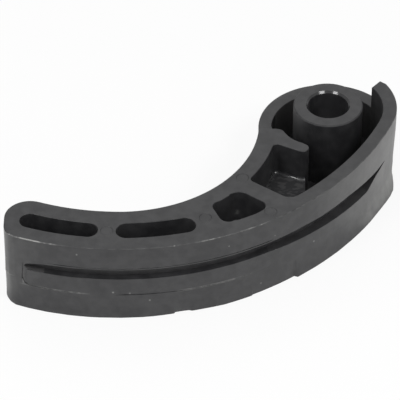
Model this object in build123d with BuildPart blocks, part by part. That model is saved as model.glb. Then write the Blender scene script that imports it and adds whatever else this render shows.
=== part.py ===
import os
from math import acos, atan2, cos, degrees, radians, sin, sqrt

from build123d import *

# Timing chain tensioner rail: a curved arm moulded in one piece from glass-filled nylon.
# The chain slides on the outer, convex face. The arm swings on a bolt through the boss.
# Origin: on the pivot axis, at the underside. The arm lies flat, +Z is the pivot axis,
# and the far end of the arm points along -X.

# Rail body
rail_height = 22.5
running_radius = 71.1
running_centre = (-53.2, 15.15)
running_end_angle = -53.6
rail_width = 14.0
hollow_radius = 35.9
end_reach = 81.9
end_inner_radius = 5.5
end_outer_radius = 4.6

# Walls and web
running_wall = 4.35
back_wall = 4.5
neck_wall = 4.3
end_wall = 3.9
web_thickness = 3.7

# Pivot end
ring_radius = 17.7
ring_wall = 3.4
ring_drop = 7.1
ring_tip_angle = 34.5
ring_tip_skew = 16.0
step_distance = 8.9
boss_diameter = 18.0
boss_rise = 0.4
boss_edge = 0.3
bore_diameter = 10.8
bore_chamfer = 0.5

# Pockets between the walls
slot_rib = 4.5
knuckle_rib = 6.5
knuckle_angle = -67.1
knuckle_corner = 1.5
knuckle_inner_corner = 1.5
cross_rib = 4.95
cross_rib_distance = 38.4
cross_rib_angle = 53.1
pocket_radius = 80.4
pocket_centre_angle = 157.0
pocket_toe_radius = 2.2
pocket_heel_radius = 1.2
shelf_edge_x = -6.4

# Retaining finger beside the boss
finger_root_radius = 3.1
finger_root_x = -13.9
finger_tip_radius = 2.0
finger_length = 7.9
finger_angle = -33.9
finger_fillet = 1.3

# Oil groove in the running face, seen from the side
groove_depth = 1.3
groove_start_x = -77.0
groove_start_low = 12.2
groove_start_high = 14.2
groove_wide_x = -72.0
groove_low = 12.4
groove_high = 15.2
groove_flare_x = -16.0
groove_mouth_low = (9.7, 10.3)
groove_mouth_high = (5.0, 15.1)
groove_shoulder = (11.9, 12.2)
groove_end = (14.8, 13.2)
groove_corner = 0.8
groove_ramp_x = -72.5

# Marks of the mould
parting_height = 9.2
mould_shift = 0.3
slide_mark_depth = 0.3
slide_mark_start_x = -77.3
slide_mark_low = 7.3
slide_mark_high = 15.8
slide_mark_fade_angle = -57.0
slide_mark_corner = 1.8
pin_mark_diameter = 3.0
pin_mark_depth = 0.12
pin_marks = [(-56.3, -48.9), (-31.9, -44.0), (-15.6, -41.7), (-22.5, -28.6)]

# Worked out from the sizes above
far = 4 * end_reach
ring_inner_radius = ring_radius - ring_wall
ring_top = rail_height - ring_drop
back_radius = running_radius - rail_width
boss_radius = boss_diameter / 2
bore_radius = bore_diameter / 2
web_top = (rail_height + web_thickness) / 2
web_bottom = (rail_height - web_thickness) / 2
pivot = (0.0, 0.0)


def at_angle(centre, radius, angle):
    """Point at a radius and an angle in degrees from a centre."""
    return (centre[0] + radius * cos(radians(angle)), centre[1] + radius * sin(radians(angle)))


# A flatter arc leads from the running face to the ring and is tangent to both.
lead_start = at_angle(running_centre, running_radius, running_end_angle)
lead_reach = lead_start[0] ** 2 + lead_start[1] ** 2 - ring_radius**2
lead_normal = at_angle(pivot, 1, running_end_angle)
lead_drop = lead_start[0] * lead_normal[0] + lead_start[1] * lead_normal[1]
lead_radius = lead_reach / 2 / (lead_drop - ring_radius)
lead_centre = at_angle(lead_start, -lead_radius, running_end_angle)
ring_tangent_angle = degrees(atan2(-lead_centre[1], -lead_centre[0]))
face_start_angle = -degrees(acos((-end_reach - running_centre[0]) / running_radius))
back_end_angle = -degrees(acos((-end_reach - running_centre[0]) / back_radius))
face_sweep = running_end_angle - face_start_angle
lead_sweep = ring_tangent_angle - running_end_angle

# The hollow side runs straight up to the ring and rolls into the back arc at its other end.
hollow_x = -(ring_radius + hollow_radius)
hollow_drop = sqrt((back_radius - hollow_radius) ** 2 - (hollow_x - running_centre[0]) ** 2)
hollow_centre = (hollow_x, running_centre[1] - hollow_drop)
hollow_blend_angle = degrees(atan2(-hollow_drop, hollow_x - running_centre[0]))

# Two equal slots lie midway between the walls and share the room up to the knuckle pocket.
slot_outer_radius = running_radius - running_wall
slot_inner_radius = back_radius + back_wall
slot_radius = (slot_outer_radius + slot_inner_radius) / 2
slot_width = slot_outer_radius - slot_inner_radius
slot_end_angle = degrees(slot_width / 2 / slot_radius)
slot_start_x = end_wall + slot_width / 2 - end_reach
slot_angle = -degrees(acos((slot_start_x - running_centre[0]) / slot_radius))
slot_span = knuckle_angle - degrees((knuckle_rib + slot_rib) / slot_radius) - slot_angle
slot_pitch = (slot_span + slot_end_angle) / 2 + degrees(slot_rib / slot_radius)
slot_arc = (slot_span - 3 * slot_end_angle) / 2

# The pocket beside the boss: its running side touches the inside of the ring. In front of the
# finger its floor is the web, and round the boss it is a well that is closed at the underside.
pocket_centre = at_angle(pivot, pocket_radius - ring_inner_radius, pocket_centre_angle)
pocket_hollow_radius = hollow_radius + neck_wall
neck_x = neck_wall - ring_radius
rib_near = cross_rib_distance - cross_rib / 2
rib_far = cross_rib_distance + cross_rib / 2

# The finger is a tapered arm between two round ends.
finger_root = (finger_root_x, -step_distance - finger_root_radius)
finger_tip = at_angle(finger_root, finger_length, finger_angle)

# The groove gets shallower towards both ends: straight ramps lead out of its floor.
floor_radius = running_radius - groove_depth
floor_start_angle = -degrees(acos((groove_ramp_x - running_centre[0]) / floor_radius))
floor_sweep = running_end_angle - floor_start_angle
ramp_start_angle = -degrees(acos((groove_start_x - running_centre[0]) / running_radius))
ramp_start = at_angle(running_centre, running_radius, ramp_start_angle)
floor_end_radius = ring_radius - groove_depth
ramp_end_angle = -degrees(acos(groove_end[0] / ring_radius))
floor_end_angle = ramp_end_angle - degrees(acos(floor_end_radius / ring_radius))
ramp_end = at_angle(pivot, ring_radius, ramp_end_angle)

rib_normal = (cos(radians(cross_rib_angle)), sin(radians(cross_rib_angle)))


def angle_at_rib(centre, radius):
    """Angle at which a circle meets the pocket side of the cross rib."""
    centre_distance = centre[0] * rib_normal[0] + centre[1] * rib_normal[1]
    return cross_rib_angle - degrees(acos((-rib_near - centre_distance) / radius))


with BuildSketch() as rail_outline:
    with BuildLine():
        face = CenterArc(running_centre, running_radius, face_start_angle, face_sweep)
        CenterArc(lead_centre, lead_radius, running_end_angle, lead_sweep)
        ring = CenterArc(pivot, ring_radius, ring_tangent_angle, 180 - ring_tangent_angle)
        neck = Line(ring @ 1, (-ring_radius, hollow_centre[1]))
        hollow = CenterArc(hollow_centre, hollow_radius, 0, hollow_blend_angle)
        back_sweep = back_end_angle - hollow_blend_angle
        back = CenterArc(running_centre, back_radius, hollow_blend_angle, back_sweep)
        Line(back @ 1, face @ 0)
    make_face()
    fillet(rail_outline.vertices().sort_by_distance(face @ 0)[0], radius=end_outer_radius)
    fillet(rail_outline.vertices().sort_by_distance(back @ 1)[0], radius=end_inner_radius)

with BuildSketch() as slots:
    with BuildLine(mode=Mode.PRIVATE) as first_line:
        CenterArc(running_centre, slot_radius, slot_angle, slot_arc)
    SlotArc(first_line.wire(), slot_width)
    with BuildLine(mode=Mode.PRIVATE) as second_line:
        CenterArc(running_centre, slot_radius, slot_angle + slot_pitch, slot_arc)
    SlotArc(second_line.wire(), slot_width)

with BuildSketch() as knuckle:
    with Locations(running_centre):
        Circle(slot_outer_radius)
    with Locations(hollow_centre):
        Circle(hollow_radius + back_wall, mode=Mode.SUBTRACT)
    with Locations(running_centre):
        with Locations(Location((0, 0, 0), (0, 0, knuckle_angle))):
            Rectangle(far, far, align=(Align.MIN, Align.MIN), mode=Mode.INTERSECT)
    with Locations(Location((0, 0, 0), (0, 0, cross_rib_angle))):
        with Locations((-rib_far, 0)):
            Rectangle(far, 2 * far, align=(Align.MAX, Align.CENTER), mode=Mode.INTERSECT)
    knuckle_top = knuckle.vertices().sort_by(Axis.Y)[-1]
    fillet(knuckle_top, radius=knuckle_inner_corner)
    lower_corners = knuckle.vertices().sort_by(Axis.Y)[:-2]
    fillet(lower_corners, radius=knuckle_corner)

with BuildSketch() as finger:
    with Locations(finger_root):
        Circle(finger_root_radius)
    with Locations(finger_tip):
        Circle(finger_tip_radius)
    make_hull()

with BuildSketch() as pocket:
    with BuildLine():
        touch_angle = pocket_centre_angle - 180
        neck_angle = degrees(acos(neck_x / ring_inner_radius))
        inside = CenterArc(pivot, ring_inner_radius, touch_angle, neck_angle - touch_angle)
        Line(inside @ 1, (neck_x, hollow_centre[1]))
        heel_angle = angle_at_rib(hollow_centre, pocket_hollow_radius)
        heel = CenterArc(hollow_centre, pocket_hollow_radius, 0, heel_angle)
        toe_angle = angle_at_rib(pocket_centre, pocket_radius)
        toe = CenterArc(pocket_centre, pocket_radius, toe_angle, touch_angle - toe_angle)
        Line(heel @ 1, toe @ 0)
    make_face()
    Circle(ring_inner_radius)
    fillet(pocket.vertices().sort_by_distance(toe @ 0)[0], radius=pocket_toe_radius)
    fillet(pocket.vertices().sort_by_distance(heel @ 1)[0], radius=pocket_heel_radius)
    add(finger.sketch, mode=Mode.SUBTRACT)
    finger_foot = (neck_x, finger_root[1] - finger_root_radius)
    fillet(pocket.vertices().sort_by_distance(finger_foot)[0], radius=finger_fillet)

with BuildSketch() as shelf:
    add(pocket.sketch)
    with BuildLine():
        Polyline(
            finger_root,
            finger_tip,
            (shelf_edge_x, finger_tip[1]),
            (shelf_edge_x, -far),
            (-far, -far),
            (-far, finger_root[1]),
            close=True,
        )
    make_face(mode=Mode.INTERSECT)

with BuildSketch() as ring_well:
    add(pocket.sketch)
    add(shelf.sketch, mode=Mode.SUBTRACT)

with BuildSketch() as under_shelf:
    add(shelf.sketch)
    with Locations((shelf_edge_x - web_thickness, 0)):
        Rectangle(far, 2 * far, align=(Align.MIN, Align.CENTER), mode=Mode.SUBTRACT)

with BuildPart() as groove:
    with BuildSketch(Plane.XZ) as groove_side:
        with BuildLine():
            Polyline(
                (groove_start_x, groove_start_low),
                (groove_wide_x, groove_low),
                (groove_flare_x, groove_low),
                groove_mouth_low,
                groove_shoulder,
                groove_end,
                groove_mouth_high,
                (groove_flare_x, groove_high),
                (groove_wide_x, groove_high),
                (groove_start_x, groove_start_high),
                close=True,
            )
        make_face()
        blunt_corners = groove_side.vertices().sort_by(Axis.X)[:-1]
        fillet(blunt_corners, radius=groove_corner)
    extrude(amount=far)
    with BuildSketch():
        with BuildLine():
            floor = CenterArc(running_centre, floor_radius, floor_start_angle, floor_sweep)
            CenterArc(lead_centre, lead_radius - groove_depth, running_end_angle, lead_sweep)
            floor_end_sweep = floor_end_angle - ring_tangent_angle
            floor_end = CenterArc(pivot, floor_end_radius, ring_tangent_angle, floor_end_sweep)
            Polyline(floor_end @ 1, ramp_end, (far, far), (-far, far), ramp_start, floor @ 0)
        make_face()
    extrude(amount=rail_height, mode=Mode.SUBTRACT)

with BuildPart() as slide_mark:
    with BuildSketch(Plane.XZ) as slide_mark_side:
        with Locations((slide_mark_start_x, slide_mark_low)):
            slide_mark_fade = at_angle(running_centre, running_radius, slide_mark_fade_angle)
            slide_mark_length = slide_mark_fade[0] - slide_mark_start_x + slide_mark_depth
            slide_mark_size = slide_mark_high - slide_mark_low
            Rectangle(slide_mark_length, slide_mark_size, align=(Align.MIN, Align.MIN))
        start_corners = slide_mark_side.vertices().group_by(Axis.X)[0]
        fillet(start_corners, radius=slide_mark_corner)
    extrude(amount=far)
    with BuildSketch():
        with Locations(running_centre):
            Circle(2 * running_radius)
        with Locations(at_angle(running_centre, slide_mark_depth, slide_mark_fade_angle + 90)):
            Circle(running_radius, mode=Mode.SUBTRACT)
    extrude(amount=rail_height, mode=Mode.INTERSECT)

with BuildSketch() as ring_back:
    tip_middle = at_angle(pivot, ring_radius - ring_wall / 2, ring_tip_angle)
    tip_direction = ring_tip_angle + ring_tip_skew
    with BuildLine():
        Polyline(
            at_angle(tip_middle, -ring_wall, tip_direction),
            at_angle(tip_middle, far, tip_direction),
            (-far, far),
            (-far, -step_distance),
            (0, -step_distance),
            close=True,
        )
    make_face()

with BuildPart() as tensioner_rail:
    with BuildSketch():
        add(rail_outline.sketch)
        with Locations((mould_shift, 0)):
            add(rail_outline.sketch, mode=Mode.INTERSECT)
    extrude(amount=parting_height)
    with BuildSketch(Plane.XY.offset(parting_height)):
        add(rail_outline.sketch)
    extrude(amount=rail_height - parting_height)
    with BuildSketch(Plane.XY.offset(web_top)):
        add(slots.sketch)
        add(knuckle.sketch)
        add(shelf.sketch)
    extrude(amount=rail_height, mode=Mode.SUBTRACT)
    with BuildSketch(Plane.XY.offset(web_thickness)):
        add(ring_well.sketch)
    extrude(amount=rail_height, mode=Mode.SUBTRACT)
    with BuildSketch():
        add(slots.sketch)
        add(knuckle.sketch)
        add(under_shelf.sketch)
    extrude(amount=web_bottom, mode=Mode.SUBTRACT)
    with BuildSketch(Plane.XY.offset(ring_top)):
        add(ring_back.sketch)
    extrude(amount=rail_height, mode=Mode.SUBTRACT)
    add(groove.part, mode=Mode.SUBTRACT)
    add(slide_mark.part, mode=Mode.SUBTRACT)
    with BuildSketch(Plane.XY.offset(rail_height - pin_mark_depth)):
        with Locations(*pin_marks):
            Circle(pin_mark_diameter / 2)
    extrude(amount=pin_mark_depth, mode=Mode.SUBTRACT)
    with BuildSketch() as boss:
        Circle(boss_radius)
    extrude(amount=rail_height + boss_rise)
    boss_rim = tensioner_rail.faces().sort_by(Axis.Z)[-1].edges()
    chamfer(boss_rim, length=boss_edge)
    with BuildSketch() as bore:
        Circle(bore_radius)
    extrude(amount=2 * rail_height, mode=Mode.SUBTRACT)
    bore_rims = tensioner_rail.edges().filter_by(GeomType.CIRCLE)
    bore_rims = bore_rims.filter_by(lambda edge: abs(edge.radius - bore_radius) < 0.01)
    chamfer(bore_rims, length=bore_chamfer)

os.makedirs("parts", exist_ok=True)
tensioner_rail.part.label = "tensioner_rail"
export_step(tensioner_rail.part, "parts/tensioner_rail.step")
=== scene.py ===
# %% [markdown]
# A timing chain tensioner rail, from its solid to a studio photograph.
#
# The rail is one moulding in black glass-filled nylon: a curved arm that a chain slides along, and a ring
# with a boss that it swings on. The solid already has the right form. What it lacks is what a mould and a
# working life give a part: edges with a small round, a thin fin of flash where the mould closed, and a dull
# skin with scuffs. This lesson adds those, then lights and photographs the part.

# %% Load the solid
import math

import bmesh
import bpy
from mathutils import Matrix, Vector


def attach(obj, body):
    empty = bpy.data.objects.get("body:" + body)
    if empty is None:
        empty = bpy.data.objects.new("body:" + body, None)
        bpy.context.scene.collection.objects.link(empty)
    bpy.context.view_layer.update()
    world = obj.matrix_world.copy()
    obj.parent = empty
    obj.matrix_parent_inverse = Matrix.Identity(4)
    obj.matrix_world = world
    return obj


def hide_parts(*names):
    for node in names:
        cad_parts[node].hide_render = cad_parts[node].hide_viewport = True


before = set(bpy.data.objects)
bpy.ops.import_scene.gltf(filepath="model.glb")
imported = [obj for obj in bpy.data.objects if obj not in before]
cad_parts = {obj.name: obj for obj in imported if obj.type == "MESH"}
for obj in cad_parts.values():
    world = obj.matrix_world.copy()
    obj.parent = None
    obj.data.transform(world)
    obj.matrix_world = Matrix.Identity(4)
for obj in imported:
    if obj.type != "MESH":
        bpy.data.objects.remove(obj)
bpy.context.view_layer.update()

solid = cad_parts["tensioner_rail"]

# %% [markdown]
# The scene is in metres, and a part this small is easier to think of in millimetres. So lengths are written
# in millimetres and turned into metres by one short helper. The heights that several steps need come first.

# %% Lengths in millimetres
MM = 0.001


def mm(*lengths):
    return Vector([length * MM for length in lengths])


TOP = 22.5          # the flat upper face of the rail
RING_TOP = 15.4     # the lowered back of the ring
WEB_TOP = 13.1      # the floor of the upper pockets
PARTING = 9.2       # where the two halves of the mould met
print("rail", TOP, "mm deep, parted at", PARTING, "mm")

# %% [markdown]
# An operator works on whatever is selected, so each step begins by selecting one thing and nothing else.
# Edges and faces are picked in code, by where they are, because there is no mouse here to pick them with.

# %% Picking by place
def select_only(piece):
    bpy.ops.object.select_all(action="DESELECT")
    piece.select_set(True)
    bpy.context.view_layer.objects.active = piece


def pick_edges(wanted):
    """Selects the edges for which wanted(edge) is true, in the mesh being edited, and counts them."""
    mesh = bmesh.from_edit_mesh(bpy.context.object.data)
    for part in (mesh.faces, mesh.edges, mesh.verts):
        for item in part:
            item.select = False
    chosen = [edge for edge in mesh.edges if len(edge.link_faces) == 2 and wanted(edge)]
    for edge in chosen:
        edge.select = True
    mesh.select_flush_mode()
    bmesh.update_edit_mesh(bpy.context.object.data)
    return len(chosen)


def cut_faces(wanted, point, normal):
    """Cuts the faces for which wanted(middle, normal) is true along a plane, and leaves the others whole."""
    bpy.ops.object.mode_set(mode="EDIT")
    bpy.ops.mesh.select_all(action="DESELECT")
    mesh = bmesh.from_edit_mesh(bpy.context.object.data)
    for face in mesh.faces:
        if wanted(face.calc_center_median() / MM, face.normal):
            face.select = True
    bmesh.update_edit_mesh(bpy.context.object.data)
    bpy.ops.mesh.bisect(plane_co=point, plane_no=normal)
    bpy.ops.object.mode_set(mode="OBJECT")


print("helpers select_only, pick_edges and cut_faces")

# %% [markdown]
# The solid comes in as loose triangles. A copy of it is merged at its doubles, and the triangles that lie in
# one plane are dissolved into whole faces, so that a bevel follows the real edges and nothing else.

# %% Copy the solid
rail = bpy.data.objects.new("rail_body", solid.data.copy())
bpy.context.scene.collection.objects.link(rail)
select_only(rail)
bpy.ops.mesh.customdata_custom_splitnormals_clear()
bpy.ops.object.mode_set(mode="EDIT")
bpy.ops.mesh.select_all(action="SELECT")
bpy.ops.mesh.remove_doubles(threshold=0.001 * MM)
bpy.ops.mesh.select_all(action="SELECT")
bpy.ops.mesh.dissolve_limited(angle_limit=math.radians(0.5))
bpy.ops.object.mode_set(mode="OBJECT")
print("copy has", len(rail.data.vertices), "vertices and", len(rail.data.polygons), "faces")

# %% [markdown]
# Many steps ask where a corner of the mesh lies: on the face that the chain slides along, on the hollow side,
# or round the pivot. All these walls are arcs in plan, so a place on one of them is known by its distance
# from the centre of the arc. The running face is one long arc, then a flatter one that leads on to the ring,
# and then the ring itself.

# %% Arcs of the walls
PIVOT = (0, 0)
RING_RADIUS, RING_INSIDE = 17.7, 14.3
BOSS_RADIUS, BORE_MOUTH = 9.0, 5.9
RUNNING_CENTRE, RUNNING_RADIUS = (-53.2, 15.15), 71.1
LEAD_CENTRE, LEAD_RADIUS = (-59.611, 23.846), 81.903
LEAD_START_X, LEAD_END_BEARING = -11.01, -21.8
HOLLOW_CENTRE, HOLLOW_RADIUS = (-53.6, -6.05), 35.9
BACK_RADIUS = 57.1          # the hollow side near the blunt end, about the running centre


def from_centre(place, centre):
    """The distance of a place from a centre in plan, in mm, and the way out there."""
    way = Vector((place.x - centre[0], place.y - centre[1], 0))
    return way.length, way.normalized()


def running_side(place):
    """How far a place lies inside the running face, in mm, and the way out of it."""
    bearing = math.degrees(math.atan2(place.y, place.x))
    if place.x < LEAD_START_X:
        centre, radius = RUNNING_CENTRE, RUNNING_RADIUS
    elif -90 < bearing < LEAD_END_BEARING or place.x < 0:
        centre, radius = LEAD_CENTRE, LEAD_RADIUS
    else:
        centre, radius = PIVOT, RING_RADIUS
    reach, way = from_centre(place, centre)
    return radius - reach, way


def blend(value, table):
    """Reads a table of (place, amount) pairs at a value, on straight lines between them."""
    for (low, first), (high, last) in zip(table, table[1:]):
        if value <= high:
            share = max(0.0, (value - low) / (high - low))
            return first + (last - first) * share
    return table[-1][1]


print("running face on a radius of", RUNNING_RADIUS, "mm, ring on", RING_RADIUS, "mm")

# %% [markdown]
# A solid is drawn with true arcs, and a real moulding strays from them. Plastic shrinks as it cools, and a
# worn mould gives rounder corners. None of this needs new faces: the walls stand upright, so moving their
# corners sideways is enough. A round corner that grows has to stay tangent to both of its walls, so it moves
# back from them by as much as it grows.

# %% Round corners
# centre, radius, growth of the radius, the ways out to its two walls, and how far the corner slides
ROUND_CORNERS = [
    ((-76.4, -42.992), 5.5, 0.75, (0.371, 0.929), (-1.0, 0.0), (0.0, 0.355)),
    ((-26.435, -44.358), 1.5, 0.9, (-0.921, -0.389), (0.410, -0.912), (-0.15, 0.15)),
    ((-28.459, -39.565), 1.5, 0.6, (-0.600, 0.800), (-0.921, -0.389), (-0.2, 0.1)),
    ((-23.585, -35.282), 1.5, 1.7, (0.600, 0.800), (-0.716, 0.698), (-0.1, 0.2)),
    ((-17.773, -39.645), 1.5, 0.7, (0.543, -0.840), (0.600, 0.800), (-0.1, 0.2)),
    ((-10.675, -34.158), 2.2, 0.9, (0.642, -0.767), (-0.600, -0.800), (0.05, 0.1)),
    ((-7.343, -16.406), 2.0, -0.4, (-0.438, -0.899), (0.668, 0.744), (0.33, -0.22)),
    ((-13.584, -17.045), 1.3, 0.0, (0.437, 0.900), (-0.964, 0.265), (0.13, 0.45)),
]


def corner_stray(place):
    """How a place on a round corner has moved, in mm."""
    for centre, radius, growth, first, last, slide in ROUND_CORNERS:
        reach, way = from_centre(place, centre)
        first, last = Vector((*first, 0)), Vector((*last, 0))
        middle = (first + last).normalized()
        if abs(reach - radius) < 0.02 and way.dot(middle) > first.dot(middle) - 0.01:
            # the finger's two walls run nearly side by side, so its tip needs no move back from them
            side_by_side = first.dot(last) < -0.9
            back = Vector((0, 0, 0)) if side_by_side else (first + last) / (1 + first.dot(last))
            return growth * (way - back) + Vector((*slide, 0))
    return Vector((0, 0, 0))


print(len(ROUND_CORNERS), "round corners have a radius of their own")

# %% [markdown]
# The long walls stray too. The ring has sprung open by a fraction of a millimetre, the arm is a little
# thicker on its hollow side, and one slot is a little wider at its back. A wall on an arc moves outward from
# the centre of the arc, or toward it where the amount is under 0. A flat wall moves by a shift.

# %% Strays of the long walls
RING_SPREAD = [(-21, 0.0), (5, 0.25), (35, 0.6), (60, 0.65), (120, 0.5), (180, 0.3)]    # bearing, amount
RING_INSIDE_SPREAD = 0.28
TIP_END, TIP_OUT, TIP_SHIFT = Vector((13.2, 9.1, 0)), Vector((0.77, -0.64, 0)), Vector((-0.34, 0.45, 0))
NECK_SHIFT = Vector((-0.3, 0, 0))
HOLLOW_SPREAD, BACK_SPREAD, SLOT_SPREAD = -0.3, -0.33, -0.3
SLOT_PLACE, SLOT_MIDDLE, SLOT_HALF = (-44.5, -48), 64.18, 2.58


def stray(place):
    """How a place on the hollow side, a slot, the ring or a round corner has moved, in mm."""
    reach, way = from_centre(place, PIVOT)
    bearing = math.degrees(math.atan2(way.y, way.x))
    if place.z > RING_TOP - 0.1 and place.x > 11 and abs(TIP_OUT.dot(place - TIP_END)) < 0.12:
        return TIP_SHIFT
    if abs(reach - RING_RADIUS) < 0.03 and bearing > RING_SPREAD[0][0]:
        return way * blend(bearing, RING_SPREAD)
    if abs(reach - RING_INSIDE) < 0.03 and bearing > 30:
        return way * RING_INSIDE_SPREAD
    if abs(place.x + RING_RADIUS) < 0.03 and -6.5 < place.y < 0.01:
        return NECK_SHIFT
    reach, way = from_centre(place, HOLLOW_CENTRE)
    if abs(reach - HOLLOW_RADIUS) < 0.05 and -54 < place.x < -17.6 and place.y < -6:
        return way * HOLLOW_SPREAD
    reach, way = from_centre(place, RUNNING_CENTRE)
    if abs(reach - BACK_RADIUS) < 0.05 and -74.3 < place.x < -53.5:
        return way * BACK_SPREAD
    if 61.55 < reach < 64.1 and -53 < place.x < -35 and from_centre(place, SLOT_PLACE)[0] < 11:
        return way * SLOT_SPREAD * (SLOT_MIDDLE - reach) / SLOT_HALF
    return corner_stray(place)


print("ring sprung open by up to", max(amount for _, amount in RING_SPREAD), "mm")

# %% [markdown]
# Now the corners of the mesh move. The lower half of the mould sits a little to the right, so a place below
# the parting line is looked up where it would be without that shift. Wear has nearly taken away the step
# between the halves. The boss stands a little taller than in the solid, and its mouth is a little tighter.

# %% Let the walls stray
MOULD_SHIFT = Vector((0.3, 0, 0))
END_SHIFT = Vector((-0.33, 0, 0))
BOSS_RISE, MOUTH_TIGHTER = 0.39, 0.15
moved = 0
for vertex in rail.data.vertices:
    place = vertex.co / MM
    shift = stray(place)
    in_lower_half = place.z < PARTING + 0.01
    if shift.length == 0 and in_lower_half:
        shift = stray(place - MOULD_SHIFT)
    if in_lower_half and place.x > -81.7:
        depth, way = running_side(place)
        if 0.004 < depth < 0.2 and place.x < RUNNING_CENTRE[0]:
            shift = way * depth
        elif place.x < -74.8 and (depth < 5 or place.x < -79):
            shift = shift + END_SHIFT       # the blunt end has moved back to the left
    reach, way = from_centre(place, PIVOT)
    if place.z > TOP - 0.2 and reach < BOSS_RADIUS + 0.1:
        shift = Vector((0, 0, BOSS_RISE))
        if reach < BORE_MOUTH + 0.3:
            shift = shift - way * MOUTH_TIGHTER
    if shift.length > 0:
        vertex.co += shift * MM
        moved += 1
print(moved, "corners of the walls have strayed")

# %% [markdown]
# The side of the finger that faces the boss is hollow, like the inside of a hook. In the solid it is one flat
# wall, with no corners along its length to move. Bisect cuts that wall upright at a few places, which leaves
# its neighbours alone, and then the new corners move in by an amount for each place.

# %% Hollow the finger
FINGER_ALONG, FINGER_OUT = Vector((0.716, -0.698, 0)), Vector((0.698, 0.716, 0))
FINGER_WALL = -15.2         # how far out the wall lies from the pivot
FINGER_HOLLOW = [(-1.7, 0.0), (-0.5, 0.38), (0.6, 0.66), (1.8, 0.8), (3.0, 0.74), (4.2, 0.52), (5.3, 0.15),
                 (6.5, 0.0)]


def on_finger_wall(place):
    return abs(FINGER_OUT.dot(place) - FINGER_WALL) < 0.12 and -1.9 < FINGER_ALONG.dot(place) < 6.7


def in_finger_wall(middle, normal):
    return on_finger_wall(middle) and normal.dot(FINGER_OUT) > 0.99


for along, _ in FINGER_HOLLOW[1:-1]:
    cut_faces(in_finger_wall, FINGER_ALONG * along * MM, FINGER_ALONG)
hollowed = [vertex for vertex in rail.data.vertices if on_finger_wall(vertex.co / MM)]
for vertex in hollowed:
    vertex.co -= FINGER_OUT * blend(FINGER_ALONG.dot(vertex.co / MM), FINGER_HOLLOW) * MM
print("finger hollowed at", len(hollowed), "corners")

# %% [markdown]
# The oil groove is deeper than it looks from outside, so deep that light hardly reaches its bottom. The
# bottom is pushed in by about half its depth along the arm and by nearly all of it beside the pivot. The
# shallow step that the mould's slide left round the groove is worn to half its height.

# %% Deepen the oil groove
GROOVE_DEEPER = [(-25, 0.45), (0, 0.9), (9, 0.9)]       # x, and the share of its depth that is added
STEP_WORN = 0.15
for vertex in rail.data.vertices:
    place = vertex.co / MM
    depth, way = running_side(place)
    if 0.5 < depth < 1.45 and 10 < place.z < 15.7 and place.y < -9:
        vertex.co -= way * depth * blend(place.x, GROOVE_DEEPER) * MM
    elif 0.2 < depth < 0.35 and 7 < place.z < 16 and place.x < -20:
        vertex.co += way * STEP_WORN * MM
print("groove deepened by up to", round(100 * GROOVE_DEEPER[-1][1]), "percent")

# %% [markdown]
# The left end of the groove is blunt, because the slide that formed it had a blunt nose. A small block of
# that form is made by extruding a plane from station to station, and a boolean cuts it out of the rail. The
# cut may lose a narrow face far from the block, so the holes are filled after it.

# %% Cut the blunt end of the groove
# x on the running face, the lowest and highest place there, and the depth
BLUNT_END = [(-76.9, 13.3, 13.7, 0.7), (-76.5, 12.8, 14.2, 1.3), (-75.6, 12.35, 14.6, 1.7),
             (-74.0, 12.33, 14.9, 1.88), (-72.4, 12.4, 15.17, 1.88)]
STANDS_OUT = 0.8            # so far does the block stand out of the running face


def on_running_face(x, depth):
    """The place at a depth in the running face, in mm, for a place x on the face itself."""
    out = Vector((x - RUNNING_CENTRE[0], -math.sqrt(RUNNING_RADIUS**2 - (x - RUNNING_CENTRE[0])**2)))
    return Vector(RUNNING_CENTRE) + out * (1 - depth / RUNNING_RADIUS)


bpy.ops.object.select_all(action="DESELECT")
bpy.ops.mesh.primitive_plane_add(size=2 * MM, rotation=(0, math.radians(-90), 0))
bpy.ops.object.transform_apply(location=True, rotation=True, scale=True)
block = bpy.context.object
bpy.ops.object.mode_set(mode="EDIT")
bpy.ops.mesh.select_all(action="SELECT")
for station, (x, low, high, depth) in enumerate(BLUNT_END):
    if station > 0:
        bpy.ops.mesh.extrude_region_move()
    mesh = bmesh.from_edit_mesh(block.data)
    ring = sorted((v for v in mesh.verts if v.select), key=lambda v: (v.co.z, v.co.y))
    outer, inner = on_running_face(x, -STANDS_OUT), on_running_face(x, depth)
    for vertex, place in zip(ring, ((outer, low), (inner, low), (outer, high), (inner, high))):
        vertex.co = mm(place[0].x, place[0].y, place[1])
    bmesh.update_edit_mesh(block.data)
bpy.ops.mesh.select_all(action="SELECT")
bpy.ops.mesh.normals_make_consistent(inside=False)
bpy.ops.object.mode_set(mode="OBJECT")

select_only(rail)
cut = rail.modifiers.new("blunt end of the groove", "BOOLEAN")
cut.operation, cut.object, cut.solver = "DIFFERENCE", block, "EXACT"
bpy.ops.object.modifier_apply(modifier=cut.name)
bpy.data.objects.remove(block)
bpy.ops.object.mode_set(mode="EDIT")
bpy.ops.mesh.select_all(action="SELECT")
bpy.ops.mesh.fill_holes(sides=0)
bpy.ops.object.mode_set(mode="OBJECT")
print("groove cut, rail has", len(rail.data.polygons), "faces")

# %% [markdown]
# Where the two halves of the mould pressed together, plastic crept out in a thin fin, the flash, and where it
# was broken off it left a ragged edge. Before the lower edge can move, the walls need corners there. So all
# the walls are cut across at a few heights, and the running face also at each end of a chip.

# %% Cut the walls across
WALL_CUTS = (0.5, 1.2, 2.2, 3.4, 5.0, 7.0, 16.5)
CHIP_CUTS = (-39.7, -39.3, -35.9, -35.3, -29.5, -20.3, -19.9, -9.35, -8.95)


def low_on_running_face(middle, normal):
    return abs(normal.z) < 0.3 and middle.z < 6 and -0.5 < running_side(middle)[0] < 0.6


for height in WALL_CUTS:
    cut_faces(lambda middle, normal: True, mm(0, 0, height), (0, 0, 1))
for x in CHIP_CUTS:
    cut_faces(low_on_running_face, mm(x, 0, 0), (1, 0, 0))
print("walls cut across, rail has", len(rail.data.polygons), "faces")

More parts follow.
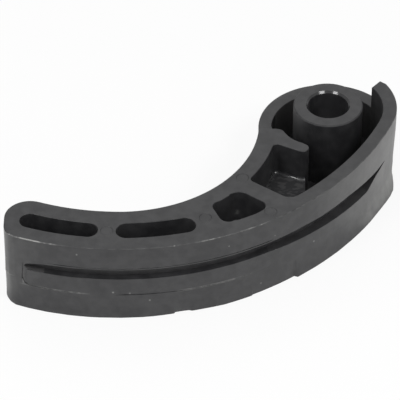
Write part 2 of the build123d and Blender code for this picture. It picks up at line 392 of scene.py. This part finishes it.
# %% [markdown]
# The flash is a table of how far the lower edge stands out at each place along the rail. A negative amount is
# a chip. On the arm the fin fades within 5 mm of height, and near the pivot it is a flare that goes up a
# little further. On the right, the wall of the ring also leans in below its rim.

# %% Flash along the lower edge
FLASH = [(-82, 0.1), (-81, 0.15), (-79, 0.6), (-75, 0.68), (-71.5, 0.66), (-60.5, 0.6), (-57, 0.5),
         (-53, 0.47), (-46, 0.42), (-42, 0.3), (-39.6, 0.15), (-39.3, -0.25), (-37, -0.3), (-35.9, -0.2),
         (-35.4, 0.15), (-31, 0.28), (-27, 0.5), (-22, 0.42), (-20.2, 0.4), (-19.9, 0.1), (-15, 0.05),
         (-9.3, 0.1), (-8.9, 0.88), (-5, 0.92), (5, 1.0), (12, 1.12), (14.5, 1.5), (15.6, 1.75),
         (16.4, 1.6), (17.1, 1.05), (17.6, 0.4), (17.75, 0.2)]
FLARE_START = -9.3
LEAN = [(0, 0.33), (1.2, 0.55), (2.2, 0.6), (3.4, 0.52), (5, 0.38), (8, 0.42), (11, 0.32), (13.6, 0.2),
        (16, 0.05), (22.5, 0.0)]
LEAN_SHARE = [(12, 0.0), (17.5, 1.0)]       # the lean grows with x
END_CORNER, END_CORNER_RADIUS = (-77.3, -46.83), 4.6

for vertex in rail.data.vertices:
    place = vertex.co / MM
    depth, way = running_side(place)
    reach, out = from_centre(place, END_CORNER)
    at_corner = place.x < -78.9 and place.y < -46.8 and abs(reach - END_CORNER_RADIUS) < 0.3
    at_end = place.x < -81.2
    if place.z < 7.5 and (at_corner or at_end or abs(depth) < 0.25 and place.y < -0.5):
        if at_corner:
            way = out
        elif at_end:
            way = Vector((-1, 0, 0))
        fades_at, bend = (5.0, 2.0) if place.x < FLARE_START else (5.5, 1.15)
        ragged = 0.05 * math.sin(3.1 * place.x) * math.sin(1.7 * place.x + 1)
        vertex.co += way * (blend(place.x, FLASH) + ragged) * max(0.0, 1 - place.z / fades_at)**bend * MM
for vertex in rail.data.vertices:
    place = vertex.co / MM
    reach, way = from_centre(place, PIVOT)
    if place.x > 12 and reach > RING_RADIUS - 0.5 and running_side(place)[0] < 0.35 and place.y < 12:
        vertex.co -= way * blend(place.x, LEAN_SHARE) * blend(place.z, LEAN) * MM
print("flash and flare of up to", max(amount for _, amount in FLASH), "mm")

# %% [markdown]
# A mould is cut with round tools and its plastic shrinks as it cools, so no edge of a moulding is a knife
# edge. A bevel of a few segments gives each edge its small round. The rounds differ: the rims on top are
# tighter than the foot of a wall. So the bevel is made in passes, each on the edges of one kind.

# %% Kinds of edges
def at_height(edge, height, slack=0.02):
    return all(abs(vertex.co.z / MM - height) < slack for vertex in edge.verts)


def corner(edge):
    """The angle that the surface turns at an edge, in degrees: over 0 outside, under 0 in a hollow."""
    turn = math.degrees(edge.calc_face_angle(0.0))
    return turn if edge.is_convex else -turn


def finger_foot(edge):
    return all(-15.6 < v.co.x / MM < -4.4 and -22 < v.co.y / MM < -12.5 for v in edge.verts)


def on_skin(edge):
    """True for an edge in the running face or in the shallow mark round the groove."""
    return all(abs(running_side(v.co / MM)[0]) < 0.33 and 7.0 < v.co.z / MM < 16 and v.co.y < -8 * MM
               for v in edge.verts)


def upper_lip(edge):
    return all(14.6 < v.co.z / MM < 16 and -71 < v.co.x / MM < -3 for v in edge.verts)


print("edges are told apart by height, by angle and by place")

# %% [markdown]
# The foot of the finger gets the widest round, because the finger bends and a sharp foot would crack. The
# tightest round, on the lips of the groove, is the only one held back by clamp_overlap, because many short
# edges meet there.

# %% Round the edges
SHARP = 40                  # an edge that turns by more than this, in degrees, is a real one
RIM = 0.22


def round_edges(name, radius, segments, wanted):
    bpy.ops.object.mode_set(mode="EDIT")
    bpy.context.tool_settings.mesh_select_mode = (False, True, False)
    count = pick_edges(wanted)
    bpy.ops.mesh.bevel(offset=radius * MM, offset_type="OFFSET", segments=segments, profile=0.5,
                       affect="EDGES", clamp_overlap=radius < 0.2)
    bpy.ops.object.mode_set(mode="OBJECT")
    print(f"{name}: {count} edges rounded to {radius} mm")


round_edges("top rims", RIM, 3, lambda e: at_height(e, TOP) and corner(e) > SHARP)
round_edges("ring rim", RIM, 3, lambda e: at_height(e, RING_TOP) and corner(e) > SHARP)
round_edges("underside rims", RIM, 3, lambda e: at_height(e, 0) and corner(e) > SHARP)
round_edges("foot of the finger", 1.1, 6,
            lambda e: at_height(e, WEB_TOP) and corner(e) < -SHARP and finger_foot(e))
round_edges("pocket floors", 0.45, 3, lambda e: at_height(e, WEB_TOP) and corner(e) < -SHARP)
round_edges("upper lip of the groove", 0.4, 4, lambda e: on_skin(e) and corner(e) > SHARP and upper_lip(e))
round_edges("other lips", 0.12, 2, lambda e: on_skin(e) and corner(e) > SHARP and not upper_lip(e))

# %% [markdown]
# A rounded edge looks round only if its shading is smooth, and a flat face next to it looks flat only if its
# own normal wins. Smoothing by angle does the first, and Weighted Normal the second.

# %% Smooth the skin
SMOOTH_BELOW = 35
select_only(rail)
bpy.ops.object.shade_smooth_by_angle(angle=math.radians(SMOOTH_BELOW))
weighted = rail.modifiers.new("flat faces stay flat", "WEIGHTED_NORMAL")
weighted.keep_sharp = True
bpy.ops.object.modifier_apply(modifier=weighted.name)
print("edges under", SMOOTH_BELOW, "degrees are smooth")

# %% [markdown]
# The plastic doesn't look the same everywhere. Its rims are worn and carry painted highlights, dust and
# painted fill light lighten the groove and the well round the boss, the bolt has burnished the mouth of the
# bore, and the floors of the pockets are rough and darkened as painted shade. Masks for these could be
# painted by hand. Here a small rule for each one gives every face a number, which is kept in the mesh as an
# attribute that the material reads.

# %% Rules for the faces
def on_running_skin(place):
    return abs(running_side(place)[0]) < 0.3 and place.y < -8


def is_edge(place, normal):
    """The faces of the rounded rims and lips."""
    on_rim = abs(place.z - TOP) < 0.25 and abs(running_side(place)[0]) < 0.5 and normal.z > 0
    on_lip = on_running_skin(place) and 7 < place.z < 16
    return 1.0 if 0.12 < abs(normal.z) < 0.97 and (on_rim or on_lip) else 0.0


def is_dust_and_painted_fill(place, normal):
    """The faces that take dust and painted fill light, which lightens these deep, shaded places: inside the
    groove, and in the well round the boss.
    """
    if 0.35 < running_side(place)[0] < 2.8 and 9.5 < place.z < 15.6 and place.y < -8:
        return 0.9 if normal.z > 0.3 and place.x < -15 else 0.2
    reach, _ = from_centre(place, PIVOT)
    if 13.9 < reach < 15 and place.x > 9 and place.z < 22:
        return 0.3 if place.z > RING_TOP else 1.0
    if 9.3 < reach < 14.8 and place.z < 15.2 and place.x > -13.5:
        return 1.0 if normal.z > 0.5 or reach > 12 else 0.55
    return 0.0


def is_polished(place, normal):
    """The mouth of the bore, which the bolt has burnished, and the shiny round at the foot of the finger."""
    reach, _ = from_centre(place, PIVOT)
    if reach < BORE_MOUTH + 0.2 and place.z > 22.2 and 0.2 < normal.z < 0.9:
        return 1.0
    at_foot = -15.5 < place.x < -5 and -21 < place.y < -13 and place.z < 14.5
    return 1.2 if at_foot and 0.05 < normal.z < 0.985 else 0.0


def is_dull_and_shaded(place, normal):
    """The floors of the pockets, where the steel of the mould was never polished, and the rim of the boss; on
    both the colour is also darkened as painted shade.
    """
    if abs(place.z - WEB_TOP) < 0.1 and normal.z > 0.97:
        return 1.0
    reach, _ = from_centre(place, PIVOT)
    on_boss_rim = 8.3 < reach < 9.2 and place.z > 22.7
    return 0.35 if on_boss_rim and 0.2 < normal.z < 0.9 else 0.0


def is_front(place, normal):
    """The running face, with the ring's wall that carries it on, and the blunt end of the arm."""
    on_face = abs(running_side(place)[0]) < 1.6 and place.y < 0 and abs(normal.z) < 0.9
    return 1.0 if on_face or place.x < -80.5 else 0.0


RULES = {"edge": is_edge, "dust_and_painted_fill": is_dust_and_painted_fill, "polished": is_polished, "dull_and_shaded": is_dull_and_shaded, "front": is_front}
print("rules for", ", ".join(RULES))

# %% [markdown]
# Each rule now runs over all the faces. The numbers lie in the mesh and not in a picture, so the part needs
# no unwrapping for them.

# %% Paint the faces
for name, rule in RULES.items():
    layer = rail.data.attributes.new(name, "FLOAT", "FACE")
    for face, value in zip(rail.data.polygons, layer.data):
        value.value = rule(face.center / MM, face.normal)
    print(name, "on", sum(value.value > 0 for value in layer.data), "faces")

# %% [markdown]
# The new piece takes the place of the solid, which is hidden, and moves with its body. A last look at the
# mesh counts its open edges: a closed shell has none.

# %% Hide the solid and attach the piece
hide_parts("tensioner_rail")
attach(rail, "root")
shell = bmesh.new()
shell.from_mesh(rail.data)
open_edges = sum(not edge.is_manifold for edge in shell.edges)
print("rail body has", len(shell.faces), "faces and", open_edges, "open edges")
shell.free()

# %% [markdown]
# A material is a small program of nodes, and so is a world. To write its sums as sums, one class wraps a
# socket, so that a * b or 1 - a adds the Math node by itself, and one method adds any other node.

# %% Sums on sockets
class Amount:
    def __init__(self, recipe, socket):
        self.recipe, self.socket = recipe, socket

    def sum(self, operation, first, second):
        made = self.recipe.node("ShaderNodeMath", {"operation": operation}, {0: first, 1: second})
        return Amount(self.recipe, made.outputs[0])

    def __add__(self, other):
        return self.sum("ADD", self, other)

    def __sub__(self, other):
        return self.sum("SUBTRACT", self, other)

    def __rsub__(self, other):
        return self.sum("SUBTRACT", other, self)

    def __mul__(self, other):
        return self.sum("MULTIPLY", self, other)

    __radd__, __rmul__ = __add__, __mul__


class Recipe:
    """The nodes of a material or a world."""

    def __init__(self, owner):
        self.owner = owner
        owner.use_nodes = True
        self.tree = owner.node_tree
        self.tree.nodes.clear()

    def node(self, kind, settings, inputs):
        made = self.tree.nodes.new(kind)
        for name, value in settings.items():
            setattr(made, name, value)
        for name, value in inputs.items():
            if isinstance(value, Amount):
                value = value.socket
            if isinstance(value, bpy.types.NodeSocket):
                self.tree.links.new(value, made.inputs[name])
            else:
                made.inputs[name].default_value = value
        return made

    def amount(self, kind, settings, inputs, output=0):
        return Amount(self, self.node(kind, settings, inputs).outputs[output])


print("Amount and Recipe are ready")

# %% [markdown]
# Black glass-filled nylon is never quite black. Its skin is dull, with a fine grain where glass lies near the
# surface, and broad cloudy patches where the plastic flowed and cooled at different speeds. Both are made
# from noise in Object coordinates, so that the pattern is fixed to the part. A second noise, drawn out along
# the height, gives the faint upright streaks that the mould's steel leaves on the walls, and one drawn out
# the other way gives the scuffs of the chain.

# %% Skin of the plastic
plastic = Recipe(bpy.data.materials.new("black_plastic"))
place = plastic.node("ShaderNodeTexCoord", {}, {}).outputs["Object"]


def noise(scale, detail=3.0, stretch=(1, 1, 1), rough=0.5):
    """A cloud of numbers about 0.5. A stretch under 1 draws the pattern out along that direction."""
    spread = plastic.node("ShaderNodeVectorMath", {"operation": "MULTIPLY"}, {0: place, 1: stretch})
    return plastic.amount("ShaderNodeTexNoise", {}, {
        "Vector": spread.outputs[0], "Scale": scale, "Detail": detail, "Roughness": rough})


def ramp(value, low, high):
    """Turns a value into a number that goes from 0 at low to 1 at high."""
    return plastic.amount("ShaderNodeMapRange", {"interpolation_type": "SMOOTHSTEP"}, {
        0: value, 1: low, 2: high, 3: 0.0, 4: 1.0})


grain = noise(2600.0)
cloud = noise(90.0)
blotch = noise(420.0, 4.0)
streak = noise(900.0, 2.0, (1, 1, 0.06))
scuff = noise(2200.0, 2.0, (0.05, 0.05, 1))
print("skin: grain, cloud, blotch, streak and scuff")

# %% [markdown]
# Wear, dust and the painted light and shade have places of their own. The parts of a place are split off
# once, in millimetres, and the numbers that were painted on the faces are read back. Each mark is then a
# product of simple masks: where it may be, times a noise that breaks it up.

# %% Masks
split = plastic.node("ShaderNodeSeparateXYZ", {}, {0: place})
across, away, height = (Amount(plastic, split.outputs[i]) * 1000 for i in range(3))
edge, dust_and_painted_fill, polished, dull_and_shaded, front = (
    plastic.amount("ShaderNodeAttribute", {"attribute_name": name}, {}, output="Fac")
    for name in ("edge", "dust_and_painted_fill", "polished", "dull_and_shaded", "front"))


def between(value, low, high, soft):
    """A mask that is 1 between two values, with soft ends."""
    return ramp(value, low - soft, low + soft) * (1 - ramp(value, high - soft, high + soft))


broken = ramp(noise(380.0, 5.0, (1, 1, 1), 0.65), 0.40, 0.64)
past_shelf = ramp(across, -8.8, -7.6) * (1 - ramp(height, 14.5, 15.5))
polished = polished * (1 - past_shelf)
print("masks for", ", ".join(RULES))

# %% [markdown]
# The near rim carries painted highlights as pale worn stretches, most of all at the blunt end, and the lower
# lip of the groove carries one along its left half. On the running face the lower and left edges of the step
# that the slide left get a thin painted highlight, on the blunt end the parting line shows as a thin pale
# line, and the flare beside the pivot and the wall above it are lightened in patches as painted light thrown
# up from the table.

# %% Wear and painted highlights
# stretches of the near rim that carry a painted highlight, laid on as pale wear
RIM_HIGHLIGHT = [(-81.5, -69, 1.0, 0.8), (-33, -20, 1.5, 0.4), (-69, -33, 2.0, 0.08)]    # from, to, soft, strength
rim_highlight_stretches = 0.0
for low, high, soft, strength in RIM_HIGHLIGHT:
    rim_highlight_stretches = rim_highlight_stretches + strength * between(across, low, high, soft)
rim_highlight_stretches = rim_highlight_stretches + 0.15 * ramp(across, -21, -18)
rim_highlight = edge * (0.15 + 1.1 * broken) * rim_highlight_stretches * ramp(height, 22.0, 22.3)
# a painted highlight along the left half of the groove's lower lip
lip_highlight = edge * (0.3 + broken) * between(across, -78, -40, 3.0) * (1 - ramp(height, 14.0, 14.4)) * 0.7

# painted highlights along the lower and left edges of the slide's step; the parting line on the blunt end is
# a pale line of its own
low_step_highlight = between(height, 7.15, 7.6, 0.12) * (
    between(across, -77, -62, 2.0) + between(across, -38, -21, 3.0))
end_step_highlight = between(height, 7.6, 11.5, 0.5) * between(across, -77.5, -77.1, 0.12)
fin_line = between(height, PARTING, PARTING + 0.3, 0.1) * (1 - ramp(across, -81.5, -79.0))
# painted light thrown up from the table: the low wall beside the pivot is made paler, in patches
painted_table_glow = ramp(across, 7, 17) * (1 - ramp(height, 2.5, 9)) * (0.15 + 0.35 * blotch)
painted_glow_patches = ramp(noise(130.0, 4.0), 0.5, 0.66) * ramp(across, 4, 12) * (1 - ramp(height, 9.0, 14.0)) * 0.12
# all the pale marks together: real wear, and the painted highlights and painted light
face_wear_and_highlights = (0.2 + broken) * (0.35 * low_step_highlight + 0.25 * end_step_highlight) + 0.3 * fin_line + painted_table_glow + painted_glow_patches
wear_and_highlights = rim_highlight + lip_highlight + face_wear_and_highlights * front * (1 - ramp(away, -3.0, 1.0))
print("wear on the rim, the lip and the running face")

# %% [markdown]
# A few pale specks sit on the skin, where grit was pressed into it. Each is a ball round a place in space,
# and a fine noise makes its edge ragged. A ball whose centre lies behind the wall only grazes it, which
# leaves a faint smudge. The last and largest ball is no speck but a painted highlight on a wall of the
# knuckle pocket.

# %% Specks, and a painted glint
# x, y, z and size in mm
SPECKS_AND_GLINT = [(-39.5, -54.6, 22.5, 0.35), (-17.9, -46.6, 22.5, 0.35), (-63.6, -55.2, 20.1, 0.4),
          (-26.0, -50.6, 18.8, 0.25), (-14.5, -44.5, 17.0, 0.25), (-14.2, -44.3, 12.5, 0.4),
          (-54.8, -55.9, 8.2, 0.4), (-50.7, -55.9, 7.7, 0.45), (-45.7, -55.6, 5.3, 0.4),
          (-17.9, -46.5, 2.9, 0.3), (-4.4, -36.6, 8.2, 0.45), (-52.5, -55.9, 13.7, 0.35),
          # the last one is a painted highlight in the knuckle pocket
          (-24.0, -32.95, 15.95, 1.65)]
specks_and_glint = 0.0
ragged = noise(1400.0, 3.0) - 0.5
for x, y, z, size in SPECKS_AND_GLINT:
    apart = plastic.amount("ShaderNodeVectorMath", {"operation": "DISTANCE"}, {
        0: place, 1: mm(x, y, z)}, output="Value")
    specks_and_glint = specks_and_glint + (1 - ramp(apart + 0.9 * size * MM * ragged, 0.2 * size * MM, size * MM))
fine_specks = ramp(noise(700.0, 2.0), 0.76, 0.84) * 0.25
marks_and_highlights = plastic.amount("ShaderNodeMath", {"operation": "MINIMUM"}, {
    0: wear_and_highlights + 0.5 * specks_and_glint + fine_specks, 1: 1.0})
print(len(SPECKS_AND_GLINT), "specks_and_glint")

# %% [markdown]
# The colours are laid over each other: two near-blacks in cloudy patches, with the grey patches left out on
# the pocket floors as painted shade, dust and painted fill light on them, and bare scraped nylon where the
# marks and the painted highlights are. Grain and blotches go into the bump, which is only hundredths of a
# millimetre deep. Burnished places are smoother and scraped ones rougher.

# %% Black plastic
DEEP_BLACK, GREY_BLACK = (0.017, 0.017, 0.0185, 1), (0.034, 0.034, 0.0355, 1)
# the dust colour also serves as painted fill light in the deep places, and the scraped colour also as painted
# highlight
DUST_AND_FILL, SCRAPED_AND_HIGHLIGHT = (0.060, 0.059, 0.060, 1), (0.30, 0.30, 0.29, 1)
NYLON_IOR = 1.56


def mix(share, first, second):
    return plastic.amount("ShaderNodeMix", {"data_type": "RGBA"}, {0: share, 6: first, 7: second}, output=2)


patchy = ramp(0.5 * cloud + 0.5 * blotch, 0.36, 0.64)
smears = ramp(noise(450.0, 3.0, (1, 1.8, 1)), 0.5, 0.6)
# the pocket floors and the boss rim lose the grey patches, a painted shade
dark = mix(patchy * (1 - dull_and_shaded), DEEP_BLACK, GREY_BLACK)
dusted_and_filled = mix(dust_and_painted_fill * (0.6 + 0.8 * blotch) + 0.5 * dull_and_shaded * smears, dark, DUST_AND_FILL)
shade = mix(marks_and_highlights, dusted_and_filled, SCRAPED_AND_HIGHLIGHT)
bump = plastic.node("ShaderNodeBump", {}, {
    "Strength": 0.25, "Distance": 0.03 * MM,
    "Height": grain + (0.9 + 4.0 * dull_and_shaded) * blotch + 0.5 * streak + 0.4 * scuff})
skin = plastic.node("ShaderNodeBsdfPrincipled", {}, {
    "Base Color": shade, "IOR": NYLON_IOR, "Normal": bump.outputs[0],
    "Roughness": (0.28 + 0.20 * cloud + 0.06 * streak + 0.06 * scuff + 0.2 * dust_and_painted_fill + 0.75 * dull_and_shaded)
                 * (1 - 0.66 * polished) + 0.15 * marks_and_highlights})
plastic.node("ShaderNodeOutputMaterial", {}, {"Surface": skin.outputs[0]})
rail.data.materials.clear()
rail.data.materials.append(plastic.owner)
print("black plastic has", len(plastic.tree.nodes), "nodes")

# %% [markdown]
# The part lies on a white table. The table's material is white paper, and most of what the camera sees of it
# is plain white, so the table runs into the background, while the rest still takes the part's soft shadow.

# %% White table
TABLE_SIZE, TABLE_BELOW = 6.0, 0.05     # in metres, and in mm below the part, so that the two don't touch
PLAIN_WHITE = 0.86                      # the share of the table that is plain white to the camera
bpy.ops.object.select_all(action="DESELECT")
bpy.ops.mesh.primitive_plane_add(size=TABLE_SIZE, location=(0, 0, -TABLE_BELOW * MM))
table = bpy.context.object
table.name = "table"
paper = Recipe(bpy.data.materials.new("white_paper"))
seen = paper.node("ShaderNodeLightPath", {}, {})
direct = seen.outputs["Is Camera Ray"]
for kind in ("Is Glossy Ray", "Is Transmission Ray"):
    direct = paper.amount("ShaderNodeMath", {"operation": "MAXIMUM"}, {0: direct, 1: seen.outputs[kind]})
matt = paper.node("ShaderNodeBsdfDiffuse", {}, {"Color": (0.9, 0.9, 0.9, 1)})
white = paper.node("ShaderNodeEmission", {}, {"Color": (1, 1, 1, 1), "Strength": 1.0})
both = paper.node("ShaderNodeMixShader", {}, {
    0: direct * PLAIN_WHITE, 1: matt.outputs[0], 2: white.outputs[0]})
paper.node("ShaderNodeOutputMaterial", {}, {"Surface": both.outputs[0]})
table.data.materials.append(paper.owner)
print("table at", round(table.location.z / MM, 3), "mm")

# %% [markdown]
# Studio light is soft. A pale world stands for the white walls of the studio, and the camera itself sees it
# as plain white. The part has no metal or glass on it, so its faint gloss may keep the level of the walls.

# %% World
WALL_LIGHT = 0.6
studio = Recipe(bpy.data.worlds.new("studio"))
bpy.context.scene.world = studio.owner
ray = studio.node("ShaderNodeLightPath", {}, {})
walls = studio.node("ShaderNodeBackground", {}, {"Color": (1, 1, 1, 1), "Strength": WALL_LIGHT})
backdrop = studio.node("ShaderNodeBackground", {}, {"Color": (1, 1, 1, 1), "Strength": 1.0})
chosen = studio.node("ShaderNodeMixShader", {}, {
    0: ray.outputs["Is Camera Ray"], 1: walls.outputs[0], 2: backdrop.outputs[0]})
studio.node("ShaderNodeOutputWorld", {}, {"Surface": chosen.outputs[0]})
print("walls at", WALL_LIGHT)

# %% [markdown]
# Lamps give the part its form. Two small softboxes in front leave a pair of glints in the burnished mouth of
# the bore, and a large one behind shines along the top.

# %% Softboxes
AIM = mm(-33, -30, 10)          # about the middle of the part


def area_lamp(name, width, depth, watts):
    """A rectangular lamp that is still to be placed. It shines along its own -Z. Sizes are in metres."""
    lamp = bpy.data.lights.new(name, "AREA")
    lamp.shape, lamp.size, lamp.size_y, lamp.energy = "RECTANGLE", width, depth, watts
    holder = bpy.data.objects.new(name, lamp)
    bpy.context.scene.collection.objects.link(holder)
    return holder


def softbox(name, azimuth, elevation, distance, width, height, watts):
    """A lamp that faces the part. Azimuth 0 is the camera's side, and 90 the part's right."""
    a, e = math.radians(azimuth), math.radians(elevation)
    way = Vector((math.sin(a) * math.cos(e), -math.cos(a) * math.cos(e), math.sin(e)))
    box = area_lamp(name, width, height, watts)
    box.location = AIM + way * distance
    box.rotation_euler = (-way).to_track_quat("-Z", "Y").to_euler()


softbox("softbox_left", -44, 50, 0.6, 0.18, 0.16, 1.0)
softbox("softbox_right", 44, 50, 0.6, 0.18, 0.16, 1.0)
softbox("softbox_back", 180, 42, 1.0, 0.8, 0.5, 0.68)
print("softboxes aim at", [round(c / MM) for c in AIM], "mm")

# %% [markdown]
# The lamps stand high, so the upright walls at the two ends of the part get little of their light. A
# photographer lays white cards on the table there, just outside the picture, to throw some light back up.
# Here the cards glow by themselves. They lie flat and shine upward, so they reach the upright walls and leave
# the top as it is.

# %% Light cards
CARD_LIGHT = 0.45               # on the same scale as the walls
CARD_ABOVE = 0.3


def light_card(name, centre, size, turn):
    """A card that lies on the table and shines upward. Its size is in mm and its turn in degrees."""
    width, depth = size[0] * MM, size[1] * MM
    card = area_lamp(name, width, depth, CARD_LIGHT * math.pi * width * depth)
    card.data.color = (1.0, 1.0, 0.96)
    card.location = mm(*centre, CARD_ABOVE)
    card.rotation_euler = (math.pi, 0, math.radians(turn))
    card.visible_camera = False


light_card("card_right", (46.7, -5.3), (50, 70), -25)
light_card("card_left", (-107, -47), (46, 46), 0)
print("lamps", [lamp.name for lamp in bpy.data.lights])

# %% [markdown]
# The camera stands about 0.8 m away with a long lens, as for a catalogue picture, and looks down on the part
# by 40.5 degrees. A long lens keeps parallel edges nearly parallel.

# %% Camera
CAMERA_TILT, LENS, SENSOR = 40.5, 270.0, 36.0
CAMERA_PLACE = mm(-33.225, -607.6, 509.6)
camera_data = bpy.data.cameras.new("camera")
camera_data.lens, camera_data.sensor_width = LENS, SENSOR
camera_data.clip_start = 0.01
camera = bpy.data.objects.new("camera", camera_data)
camera.location = CAMERA_PLACE
camera.rotation_euler = (math.radians(90 - CAMERA_TILT), 0, 0)
bpy.context.scene.collection.objects.link(camera)
bpy.context.scene.camera = camera
bpy.context.scene.view_settings.view_transform = "Standard"
print("camera at", [round(c / MM, 1) for c in camera.location], "mm")

# %% [markdown]
# Last, the scene is brought up to date.

# %% Finish
bpy.context.view_layer.update()
